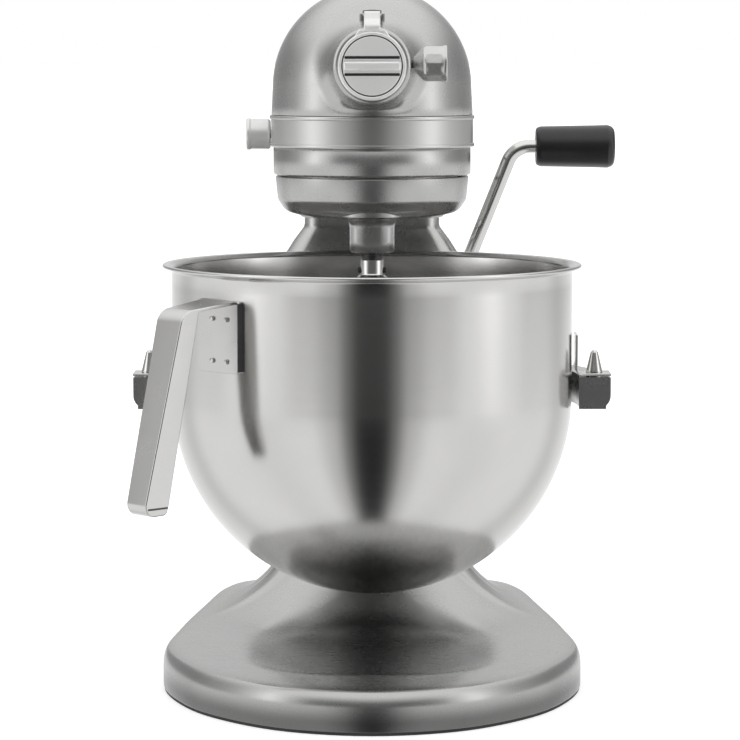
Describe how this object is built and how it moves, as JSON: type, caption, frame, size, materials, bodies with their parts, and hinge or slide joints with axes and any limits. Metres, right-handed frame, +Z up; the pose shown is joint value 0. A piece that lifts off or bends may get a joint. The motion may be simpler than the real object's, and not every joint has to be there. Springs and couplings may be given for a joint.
{
  "type": "stand mixer",
  "caption": "Bowl-lift stand mixer with a domed metal head, planetary beater drive, attachment hub, lift lever and a deep steel bowl.",
  "frame": {"origin": "on the ground under the axis of the bowl and planetary drive, at the middle foot", "axes": "+Z up, -Y towards the user and the attachment hub, +X towards the lift lever"},
  "size_m": [0.2979, 0.3723, 0.4195],
  "materials": {
    "silver_paint": "satin metallic paint",
    "band_silver": "satin bright silver",
    "bowl_steel": "brushed stainless",
    "beater_steel": "burnished",
    "polished_steel": "polished",
    "knob_chrome": "satin chrome",
    "black_grip": "gloss black",
    "black_plastic": "matt black",
    "foot_rubber": "matt rubber",
    "zinc_screw": "zinc plated",
    "machined_steel": "machined",
    "dark_steel": "dark oxide",
    "gear_steel": "hardened, greased",
    "core_steel": "laminated",
    "cast_aluminium": "as cast",
    "bronze_bush": "sintered bronze",
    "copper": "machined copper",
    "carbon": "carbon",
    "board_green": "solder mask"
  },
  "bodies": {
    "stand": {"base_casting": "silver_paint", "base_bottom_plate": "black_plastic", "base_feet": "foot_rubber", "base_screws": "zinc_screw", "column_casting": "silver_paint", "column_bolts": "zinc_screw", "guide_rods": "machined_steel", "guide_blocks": "cast_aluminium", "stop_screw": "zinc_screw", "lever_bushes": "bronze_bush", "inlet_gland": "black_plastic", "head_upper_housing": "silver_paint", "trim_band": "band_silver", "lower_gearcase": "silver_paint", "rear_end_cover": "silver_paint", "rear_cover_screw": "zinc_screw", "shaft_bushes": "bronze_bush", "hub_hinge_pin": "machined_steel", "internal_ring_gear": "gear_steel", "gearbox_frame": "cast_aluminium", "shaft_bearings": "machined_steel", "motor_stator": "core_steel", "motor_mounts": "cast_aluminium", "carbon_brushes": "carbon", "brush_holders": "bronze_bush", "control_board": "board_green"},
    "bowl_support": {"support_yoke": "silver_paint", "lift_plate": "machined_steel", "locating_pins": "polished_steel", "latch_spring": "machined_steel", "bowl_shell": "bowl_steel", "bowl_side_brackets": "bowl_steel", "bowl_rear_lug": "bowl_steel", "bowl_handle": "bowl_steel"},
    "lift_lever": {"lever_rod": "polished_steel", "lever_grip": "black_grip", "lever_crank": "machined_steel"},
    "hub_cover": {"hub_cover": "polished_steel"},
    "knob_screw": {"knob_stud": "dark_steel"},
    "thumb_knob": {"hub_knob": "knob_chrome"},
    "planetary": {"planetary_cup": "silver_paint", "planetary_shaft": "machined_steel", "beater_bushes": "bronze_bush", "centre_bevel_gear": "gear_steel"},
    "beater": {"agitator_pinion": "gear_steel", "beater_shaft": "dark_steel", "beater_washer": "dark_steel", "flat_beater": "beater_steel"},
    "hub_drive": {"hub_shaft": "machined_steel", "hub_bevel_pinion": "gear_steel"},
    "layshaft": {"layshaft": "machined_steel", "layshaft_bevel_pinion": "gear_steel", "layshaft_spur_gear": "gear_steel"},
    "armature": {"armature_shaft": "machined_steel", "armature_pinion": "gear_steel", "armature_core": "core_steel", "commutator": "copper", "cooling_fan": "black_plastic"},
    "speed_lever": {"speed_knob": "knob_chrome", "speed_link": "machined_steel"}
  },
  "joints": [
    {"name": "lift_lever_turn", "type": "hinge", "parent": "stand", "child": "lift_lever", "pos_m": [0, 0.18, 0.24], "axis": [-1, 0, 0], "range_deg": [0, 100]},
    {"name": "bowl_lift", "type": "slide", "parent": "stand", "child": "bowl_support", "axis": [0, 0, -1], "range_m": [0, 0.032]},
    {"name": "hub_cover_flip", "type": "hinge", "parent": "stand", "child": "hub_cover", "pos_m": [0, -0.044, 0.4015], "axis": [-1, 0, 0], "range_deg": [0, 100]},
    {"name": "knob_advance", "type": "slide", "parent": "stand", "child": "knob_screw", "axis": [1, 0, 0], "range_m": [0, 0.003]},
    {"name": "knob_turn", "type": "hinge", "parent": "knob_screw", "child": "thumb_knob", "pos_m": [0.033, -0.074, 0.3745], "axis": [-1, 0, 0], "range_deg": [0, 1080]},
    {"name": "planetary_spin", "type": "hinge", "parent": "stand", "child": "planetary", "pos_m": [0, 0, 0.3], "axis": [0, 0, 1], "continuous": true},
    {"name": "beater_spin", "type": "hinge", "parent": "planetary", "child": "beater", "pos_m": [0, -0.033, 0.3], "axis": [0, 0, 1], "continuous": true},
    {"name": "hub_drive_spin", "type": "hinge", "parent": "stand", "child": "hub_drive", "pos_m": [0, -0.045, 0.3733], "axis": [0, 1, 0], "continuous": true},
    {"name": "layshaft_spin", "type": "hinge", "parent": "stand", "child": "layshaft", "pos_m": [0, 0.05, 0.3733], "axis": [0, 1, 0], "continuous": true},
    {"name": "armature_spin", "type": "hinge", "parent": "stand", "child": "armature", "pos_m": [0, 0.12, 0.3493], "axis": [0, 1, 0], "continuous": true},
    {"name": "speed_slide", "type": "slide", "parent": "stand", "child": "speed_lever", "axis": [0, 1, 0], "range_m": [0, 0.044]}
  ],
  "couplings": [
    {"joint": "lift_lever_turn", "follows": "bowl_lift", "rad_per_m": 54.542},
    {"joint": "knob_turn", "follows": "knob_advance", "rad_per_m": 6283.2},
    {"joint": "beater_spin", "follows": "planetary_spin", "ratio": -3.2},
    {"joint": "hub_drive_spin", "follows": "planetary_spin", "ratio": -3.3333},
    {"joint": "layshaft_spin", "follows": "planetary_spin", "ratio": 3.3333},
    {"joint": "armature_spin", "follows": "planetary_spin", "ratio": -10}
  ]
}
